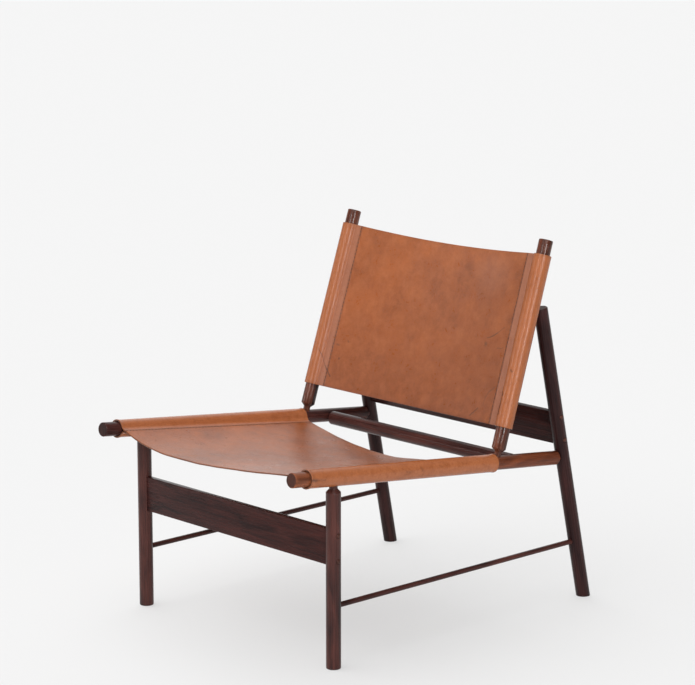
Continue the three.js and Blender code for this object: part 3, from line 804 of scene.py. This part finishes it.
def sling_shape(sling, holes=()):
    """The sheet as it hangs, with its width before it was sewn.

    A UV map holds each point's place on the flat leather. A colour attribute marks the sleeves, the
    bands beside them and some patches of painted sheen, the seams, the cut ends and how much darker
    the leather is along its length. A vertex group says where the leather is thinner.
    """
    half_columns = FLAP_COLUMNS + SLEEVE_COLUMNS + SHEET_COLUMNS
    shape = bmesh.new()
    bmesh.ops.create_grid(shape, x_segments=2 * half_columns, y_segments=SLING_ROWS, size=0.5)
    flat = shape.loops.layers.uv.new("flat_leather")
    zones = shape.loops.layers.float_color.new("zones")
    pressed = shape.verts.layers.deform.verify()
    middle = sling.half(1, 0.5)
    half_cut = middle.column(half_columns)
    halves = {}
    for side in SIDES.values():
        for row in range(SLING_ROWS + 1):
            halves[side, row] = sling.half(side, row_place(row, sling.length))
    flat_places = {}
    zone_marks = {}
    for vert in shape.verts:
        column = round((vert.co.x + 0.5) * 2 * half_columns)
        row = round((vert.co.y + 0.5) * SLING_ROWS)
        side = -1 if column <= half_columns else 1
        column = min(column, 2 * half_columns - column)
        half = halves[side, row]
        length = half.column(column)
        share = row_place(row, sling.length)
        vert.co = sling.point(side, share, length, half)
        fullness = min(edge_fullness(sling.from_end(share)), edge_fullness(length))
        vert[pressed][0] = min(1 - half.near_seam(length, SEAM_PRESSED_WIDTH),
                               (fullness - SEAM_PRESSED) / (1 - SEAM_PRESSED))
        flat_places[vert] = (half_cut + side * (half_cut - middle.column(column)), share * sling.length)
        from_seam = half.from_seam(length)
        # Red: a half on the band and one on the sleeve, or a patch of painted sheen on the sheet.
        rise = clamp(from_seam / BAND_RISE) + clamp((from_seam - half.band) / SLEEVE_RISE)
        zone_marks[vert] = (max(rise / 2, sheen_patch_share(sling.sheen_patch, *flat_places[vert])),
                            half.near_seam(length, SEAM_STAIN),
                            math.exp(-sling.from_end(share) / END_STAIN), between(sling.darkening_along, share))
    for face in shape.faces:
        for corner in face.loops:
            corner[flat].uv = flat_places[corner.vert]
            corner[zones] = zone_marks[corner.vert]
    for side in holes:
        open_hole(shape, side)
    return shape, 2 * half_cut


class SeatSling(Sling):
    """The seat, which is worn lower on the sitter's right."""

    place = matrix_of(ACROSS, RAIL_ALONG, RAIL_UP, rail_point(0, 0))
    ends = (-0.074, 0.45083)
    seam_gap = 0.011
    fillet = 0.014
    flare = 0.0012
    seam_drop = 0.008
    sag = (0.024, 0.031)
    tilt = (0.0156, 0.0104)
    curve = (2.6, 1.5)
    flat_middle = 0.004
    least_sag = -0.2
    taut_margin = 0.023
    waves = ((9, 9, 0.3), (26, 22, 5))
    wave_height = 0.0016
    top_dip = 0
    # The leather grows darker towards the rear of the seat.
    darkening_along = (0, 0.25)
    # A patch of painted sheen near the front of the seat.
    sheen_patch = ((0.25, 0.06), (0.08, 0.1), 0.22)

    def half_width(self, share):
        return RAIL_X

    def sheet(self, across, share):
        """How far the seat lies above the rails' axes."""
        part = across / (RAIL_X - SLEEVE_RADIUS - self.seam_gap)
        reach = (part ** 2 + self.flat_middle) ** (between(self.curve, share) / 2)
        sag = between(self.sag, share) - between(self.tilt, share) * part
        return -self.seam_drop * share - sag * max(1 - reach, self.least_sag)


# Saddle leather is tanned right through: cognac brown, mottled by age, with fine pores and creases.
# Hands and clothes have polished the sleeves, and the seams and cut ends have darkened.
hide, given, put_out = new_group(
    "hide_grain",
    {"Vector": "Vector", "Zones": "Color", "Darkening": "Float", "Marks": "Float", "Mottling": "Float",
     "Deep": "Color", "Base": "Color", "Pale": "Color", "Painted Sheen": "Color", "Polished": "Color"}, SURFACE)
hide_place = given["Vector"]
zone = add_node(hide, "SeparateColor", {"Color": given["Zones"]}).outputs
clouds = noise_at(hide, hide_place, 8, 9, 0.7)
blotches = noise_at(hide, hide_place, 45, 4, 0.6)
stains = noise_at(hide, hide_place, 26, 4, 0.6)
rubbed = noise_at(hide, hide_place, 75, 5, 0.62, 0.6)
mottle = noise_at(hide, hide_place, 210, 5, 0.72)
specks = spread(hide, noise_at(hide, hide_place, 240, 2), 0.72, 0.8, 0, 0.35)
pore_cells = add_node(hide, "TexVoronoi", {"Vector": hide_place, "Scale": 1500.0}).outputs[0]
creases = add_node(hide, "TexVoronoi", {"Vector": hide_place, "Scale": 620.0},
                   feature="DISTANCE_TO_EDGE").outputs[0]
fine = noise_at(hide, hide_place, 420, 4, 0.65)
mix_tones = calculate(hide, "MULTIPLY", calculate(hide, "ADD", blotches, mottle), 0.5)
band = spread(hide, zone["Red"], 0.1, 0.4)
sleeve = spread(hide, zone["Red"], 0.6, 0.95)
hide_colour = mix_colours(hide, spread(hide, clouds, 0.38, 0.62), given["Deep"], given["Base"])
# The layers of colour over that: where each shows, how much, and its tone. Two only darken.
for where, amount, tone, *blend in (
        # Darker along each sling, by the amounts given for its two ends.
        (given["Darkening"], 1.0, given["Deep"]),
        (spread(hide, blotches, 0.46, 0.68, 0, 0.42), given["Mottling"], given["Pale"]),
        # The band beside each sleeve, and the patches marked like it, take a pale pink-grey painted sheen.
        (band, 0.75, given["Painted Sheen"]),
        (sleeve, 0.85, given["Polished"]),
        (spread(hide, rubbed, 0.52, 0.72, 0, 0.5), sleeve, given["Deep"]),
        (spread(hide, mottle, 0.4, 0.62, 0, 0.4), given["Mottling"], (0.6, 0.54, 0.5, 1), "MULTIPLY"),
        (spread(hide, stains, 0.48, 0.68, 0, 0.42), given["Mottling"], (0.72, 0.64, 0.6, 1), "MULTIPLY"),
        (specks, 0.8, (0.07, 0.022, 0.011, 1)),
        (zone["Green"], 0.34, (0.06, 0.02, 0.011, 1)),
        (zone["Blue"], 0.22, (0.1, 0.034, 0.016, 1)),
        (given["Marks"], 1.0, (0.06, 0.021, 0.012, 1))):
    layer_share = calculate(hide, "MULTIPLY", where, amount)
    hide_colour = mix_colours(hide, layer_share, hide_colour, tone, *blend)
worn_gloss = spread(hide, mix_tones, 0.35, 0.65, 0.24, 0.42)
polished_gloss = spread(hide, mottle, 0.3, 0.7, 0.19, 0.29)
hide_gloss = mix_values(hide, sleeve, worn_gloss, polished_gloss)
hide_height = spread(hide, creases, 0.0, 0.12, -0.35, 0.0)
for pattern, depth in ((pore_cells, 0.35), (fine, 1.2)):
    hide_height = calculate(hide, "ADD", hide_height, calculate(hide, "MULTIPLY", pattern, depth))
hide_height = calculate(hide, "MULTIPLY", hide_height, spread(hide, sleeve, 0, 1, 1, 0.5))
hide_height = calculate(hide, "SUBTRACT", hide_height, calculate(hide, "MULTIPLY", given["Marks"], 1.5))
feed(hide, put_out, {"Color": hide_colour, "Roughness": hide_gloss, "Height": hide_height})


def vector_math(tree, operation, first, second, output="Vector"):
    made = add_node(tree, "VectorMath", {0: first, 1: second}, operation=operation)
    return made.outputs[output]


# One scratch or crease: how close a place on the flat leather is to a line across it.
scratch, given, put_out = new_group(
    "leather_scratch", {"Vector": "Vector", "Start": "Vector", "End": "Vector", "Width": "Float"},
    {"Mask": "Float"})
line = vector_math(scratch, "SUBTRACT", given["End"], given["Start"])
away = vector_math(scratch, "SUBTRACT", given["Vector"], given["Start"])
share = calculate(scratch, "DIVIDE", vector_math(scratch, "DOT_PRODUCT", away, line, "Value"),
                  vector_math(scratch, "DOT_PRODUCT", line, line, "Value"))
share.node.use_clamp = True
nearest = add_node(scratch, "VectorMath", {0: line, "Scale": share}, operation="SCALE").outputs[0]
distance = vector_math(scratch, "DISTANCE", away, nearest, "Value")
closeness = calculate(scratch, "SUBTRACT", 1.0, calculate(scratch, "DIVIDE", distance, given["Width"]))
closeness.node.use_clamp = True
scratch.links.new(closeness, put_out["Mask"])

# Scratches and dark marks on the flat leather: start, end and width in millimetres, and strength.
SEAT_SCRATCHES = [
    (728.3, 0, 728.7, 14, 4.2, 0.81),
    (728.7, 14, 729.6, 36, 2.4, 0.405),
    (725, 298.5, 730, 302, 5.1, 0.351),
    (729.9, 256, 731, 270, 3.9, 0.243),
    (733, 306, 739, 304, 4.5, 0.297),
    (725, 352.5, 728.2, 360, 3.6, 0.243),
    (290, 210, 330, 202, 1.05, 0.405),
    (470, 330, 485, 365, 1.05, 0.405),
    (540, 120, 562, 130, 0.9, 0.405),
]
WANDER_SCALE = 140.0
WANDER = (0.004, 0.004, 0)
LEATHER_GLOSS = 0.31


def leather(name, tones, relief, scratches=(), mottling=1.0):
    """A face of the leather, from the tones that its grain mixes and the depth of its pores."""
    material, tree, shader = new_material(name)
    place = add_node(tree, "TexCoord").outputs["Object"]
    marks = 0.0
    if scratches:
        wander = add_node(tree, "TexNoise", {"Vector": place, "Scale": WANDER_SCALE}).outputs["Color"]
        wander = vector_math(tree, "SUBTRACT", wander, (0.5, 0.5, 0.5))
        wander = vector_math(tree, "MULTIPLY", wander, WANDER)
        flat_place = add_node(tree, "UVMap", uv_map="flat_leather").outputs[0]
        flat_place = vector_math(tree, "ADD", flat_place, wander)
        for *ends, strength in scratches:
            from_x, from_y, to_x, to_y, width = (measure / 1000 for measure in ends)
            one = add_node(tree, "Group", {
                "Vector": flat_place, "Start": (from_x, from_y, 0), "End": (to_x, to_y, 0),
                "Width": width}, node_tree=scratch)
            mark = calculate(tree, "MULTIPLY", one.outputs["Mask"], strength)
            marks = calculate(tree, "MAXIMUM", marks, mark)
    marked = add_node(tree, "VertexColor", layer_name="zones").outputs
    settings = {socket: (*tone, 1) for socket, tone in tones.items()}
    settings.update({"Vector": place, "Zones": marked["Color"], "Darkening": marked["Alpha"],
                     "Marks": marks, "Mottling": mottling})
    surface = add_node(tree, "Group", settings, node_tree=hide).outputs
    feed(tree, shader.inputs, {
        "Base Color": surface["Color"], "Roughness": surface["Roughness"],
        "Specular IOR Level": LEATHER_GLOSS, "Normal": bump(tree, surface["Height"], relief)})
    return material


GRAIN_RELIEF = 0.00018
FLESH_RELIEF = 0.0004
CUT_RELIEF = 0.0002
GRAIN_TONES = {"Deep": (0.222, 0.06, 0.0165), "Base": (0.364, 0.1, 0.0245),
               "Pale": (0.435, 0.147, 0.055)}
# The seat's sheen tone is a pale pink-grey painted sheen for the bands beside the sleeves and a patch.
SEAT_TONES = {**GRAIN_TONES, "Painted Sheen": (0.385, 0.15, 0.082), "Polished": (0.366, 0.116, 0.04)}
FLESH_TONE = (0.26, 0.105, 0.052)
FLESH_TONES = {"Deep": (0.2, 0.075, 0.035), "Base": FLESH_TONE, "Pale": (0.33, 0.15, 0.08),
               "Painted Sheen": FLESH_TONE, "Polished": FLESH_TONE}
CUT_TONE = (0.125, 0.042, 0.02)
CUT_TONES = {"Deep": (0.08, 0.027, 0.014), "Base": CUT_TONE, "Pale": (0.16, 0.058, 0.028),
             "Painted Sheen": CUT_TONE, "Polished": (0.1, 0.034, 0.017)}
seat_grain_side = leather("saddle_leather_seat", SEAT_TONES, GRAIN_RELIEF, SEAT_SCRATCHES)
flesh_side = leather("saddle_leather_flesh_side", FLESH_TONES, FLESH_RELIEF)
cut_edge = leather("saddle_leather_cut_edge", CUT_TONES, CUT_RELIEF)


def add_sling(name, sling, grain_side, holes=()):
    """Adds a sling with its thickness, materials and stitches, as a sheet held by two rods."""
    shape, flat_width = sling_shape(sling, holes)
    piece = add_object(f"{name}_sling_leather", shape)
    for face_material in (grain_side, flesh_side, cut_edge):
        piece.data.materials.append(face_material)
    wall = piece.modifiers.new("leather", "SOLIDIFY")
    wall.thickness = LEATHER
    wall.offset = 0
    wall.use_even_offset = True
    piece.vertex_groups.new(name="full_thickness")
    wall.vertex_group = "full_thickness"
    wall.thickness_vertex_group = SEAM_PRESSED
    wall.material_offset = 1
    wall.material_offset_rim = 2
    settle(piece)
    smooth_but_sharp(piece, LEATHER_SHARP_FROM)
    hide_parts(f"{name}_sling")
    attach(piece, "root")
    stitches = add_stitches(f"{name}_stitches", sling)


thread = speckled("waxed_thread", 1500, (0.022, 0.01, 0.007), (0.06, 0.025, 0.015), (0.5, 0.7))


def add_stitches(name, sling):
    """Rows of stitches along both seams, on the upper face and on the flap underneath."""
    single = bmesh.new()
    bmesh.ops.create_uvsphere(single, u_segments=8, v_segments=5, radius=1)
    stitch = bpy.data.meshes.new("stitch")
    single.to_mesh(stitch)
    single.free()
    shape = bmesh.new()
    count = int(sling.length / STITCH_PITCH)
    step = 0.002
    for side in SIDES.values():
        for number in range(count):
            share = (number + 0.5) / count
            half = sling.half(side, share)
            for at in half.seams:
                middle = sling.point(side, share, at, half)
                along = sling.point(side, share + step / sling.length, at, half) - middle
                across = sling.point(side, share, at + step, half)
                across -= sling.point(side, share, at - step, half)
                outward = along.cross(across).normalized() * side
                along.normalize()
                centre = middle + outward * (SEAM_PRESSED * LEATHER / 2 + STITCH_SIZE[2] * STITCH_PROUD)
                axes = matrix_of(along.cross(outward), along, outward, centre)
                placed = stitch.copy()
                placed.transform(axes @ Matrix.Diagonal((*STITCH_SIZE, 1)))
                shape.from_mesh(placed)
                bpy.data.meshes.remove(placed)
    bpy.data.meshes.remove(stitch)
    piece = add_object(name, shape)
    piece.data.shade_smooth()
    piece.data.materials.append(thread)
    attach(piece, "root")
    return piece


add_sling("seat", SeatSling(), seat_grain_side, SIDES.values())


# Back sling
# A second sheet of the same leather between the back posts, sewn into sleeves in the same way with
# a wider flat band beside each sleeve. Its upper edge dips in the middle.
# The back's sheen tone is a pale pink-grey painted sheen as well.
BACK_TONES = {**GRAIN_TONES, "Painted Sheen": (0.327, 0.132, 0.0746), "Polished": (0.335, 0.102, 0.032)}
BACK_MOTTLING = 0.7
BACK_SCRATCHES = [
    (644, 205, 624.3, 190.6, 1.65, 0.675),
    (624.3, 190.6, 606, 180.7, 2.1, 0.945),
    (606, 180.7, 595, 178, 1.8, 0.675),
    (594.7, 165.5, 596, 164, 6.3, 0.675),
    (635.4, 159.3, 654.3, 161.5, 1.35, 0.675),
    (658, 77.9, 641.9, 65.9, 1.95, 0.675),
    (641.9, 65.9, 634.1, 51.3, 1.8, 0.6075),
    (634.1, 51.3, 632.8, 36.3, 1.5, 0.405),
    (619.3, 27.8, 598.7, 9.5, 1.8, 0.945),
    (700.8, 68.7, 701.2, 64, 3.6, 1),
    (700.6, 57, 701.2, 24.5, 3, 1),
    (710, 118, 713, 116, 3.9, 0.675),
    (122.1, 80, 149.7, 47, 1.65, 0.6075),
    (149.7, 47, 171.4, 25.2, 1.95, 1),
    (183.8, 68.5, 184.5, 67, 3.15, 0.945),
    (196.8, 109.8, 198, 109, 3.6, 0.6075),
    (170, 98.5, 175, 96.5, 3.3, 0.4725),
    (335, 125, 348, 132, 0.9, 0.405),
    (480, 245, 486, 270, 0.9, 0.405),
]


class BackSling(Sling):
    """The back, which bellies most at half its height."""

    place = matrix_of(ACROSS, POST_ALONG, POST_FRONT, post_point(0, 0))
    ends = (0.075, 0.442)
    seam_gap = 0.02
    fillet = 0.003
    flare = 0.0002
    seam_forward = 0.003
    sag = 0.022
    belly = (0.85, 0.3)
    taut_margin = SLEEVE_RADIUS
    waves = ((8, 8, 7.7), (24, 20, 2))
    wave_height = 0.0014
    top_dip = 0.007
    # The leather is much darker at the lower edge and grows lighter towards the top.
    darkening_along = (0.93, 0.08)
    # A patch of painted sheen high on the back, on its left half.
    sheen_patch = ((0.57, 0.315), (0.075, 0.06), 0.26)

    def half_width(self, share):
        return post_point(1, between(self.ends, share)).x

    def sheet(self, across, share):
        """How far the back lies in front of the posts' axes."""
        part = across / (self.half_width(share) - SLEEVE_RADIUS - self.seam_gap)
        least, more = self.belly
        belly = least + more * math.sin(math.pi * share)
        return self.seam_forward - self.sag * belly * (1 - part ** 2)


back_grain_side = leather("saddle_leather_back", BACK_TONES, GRAIN_RELIEF, BACK_SCRATCHES, BACK_MOTTLING)
add_sling("back", BackSling(), back_grain_side)


# Floor, light and camera
# A plain pale floor under soft studio light, seen from in front of the chair and to its left.
FLOOR_REACH = 40
FLOOR_BELOW = Matrix.Translation((0, 0, -FIT))
TOWARD_BACKDROP = (-0.66, 0.66, 0.36)
SEEN_BRIGHTNESS = 0.9
shape = bmesh.new()
bmesh.ops.create_grid(shape, x_segments=1, y_segments=1, size=FLOOR_REACH, matrix=FLOOR_BELOW)
floor = add_object("studio_floor", shape)
floor_material, tree, shader = new_material("pale_floor")
floor.data.materials.append(floor_material)
feed(tree, shader.inputs, {
    "Base Color": (0.7, 0.7, 0.7, 1), "Roughness": 1.0, "Specular IOR Level": 0.0})
seen_part = add_node(tree, "BsdfDiffuse", {"Color": (0.24, 0.24, 0.24, 1)})
seen_glow = add_node(tree, "Emission", {"Color": (1, 1, 1, 1), "Strength": 0.535})
seen = add_node(tree, "AddShader", {0: seen_part.outputs[0], 1: seen_glow.outputs[0]})
path = add_node(tree, "LightPath").outputs
direct_look = calculate(tree, "MAXIMUM", path["Is Camera Ray"],
                        calculate(tree, "MAXIMUM", path["Is Glossy Ray"], path["Is Transmission Ray"]))
floor_mix = add_node(tree, "MixShader", {0: direct_look, 1: shader.outputs[0], 2: seen.outputs[0]})
tree.links.new(floor_mix.outputs[0], tree.nodes["Material Output"].inputs["Surface"])

# The studio is dim behind the camera and bright towards the backdrop, which the seat mirrors.
world = bpy.data.worlds.new("studio")
world.use_nodes = True
tree = world.node_tree
direction = add_node(tree, "TexCoord").outputs["Generated"]
facing = vector_math(tree, "DOT_PRODUCT", direction, TOWARD_BACKDROP, "Value")
brightness = spread(tree, facing, 0.6, 0.95, 0.22, 1.4)
seen_directly = add_node(tree, "LightPath").outputs["Is Camera Ray"]
brightness = mix_values(tree, seen_directly, brightness, SEEN_BRIGHTNESS)
feed(tree, tree.nodes["Background"].inputs, {"Color": (1, 1, 1, 1), "Strength": brightness})
scene.world = world

# The lamps beside and in front of the chair are kept off the floor, which has a lamp of its own and
# so keeps one soft shadow.
all_but_floor = bpy.data.collections.new("all_but_floor")
all_but_floor.objects.link(floor)
all_but_floor.collection_objects[0].light_linking.link_state = "EXCLUDE"
floor_alone = bpy.data.collections.new("floor_alone")
floor_alone.objects.link(floor)


def add_lamp(name, strength, width, toward_floor, lit=all_but_floor):
    """A broad, far lamp that shines in a direction."""
    lamp = bpy.data.lights.new(name, "SUN")
    lamp.energy = strength
    lamp.angle = math.radians(width)
    held = put_in_scene(name, lamp)
    held.rotation_euler = Vector(toward_floor).to_track_quat("-Z", "Y").to_euler()
    held.light_linking.receiver_collection = lit


add_lamp("floor_softbox", 4.3, 110, (0.4, 0.4, -1), floor_alone)
add_lamp("overhead_softbox", 1.5, 44, (0, 0.48, -1))
add_lamp("front_softbox", 0.5, 45, (-0.05, 0.85, -0.5))
add_lamp("left_softbox", 1.2, 40, (-0.75, 0.4, -0.6))
add_lamp("left_strip", 0.7, 8, (-0.9, 0.35, -0.2))
add_lamp("right_softbox", 0.37, 14, (0.74, 0.65, -0.12))
add_lamp("front_strip", 0.34, 7, (-0.18, 0.96, -0.36))

camera = bpy.data.cameras.new("camera")
camera.sensor_width = 36
camera.lens = 134.41
camera_object = put_in_scene("camera", camera)
camera_object.location = (3.8820, -3.6515, 1.6391)
camera_object.rotation_euler = (math.radians(78.652), 0, math.radians(46.786))
scene.camera = camera_object
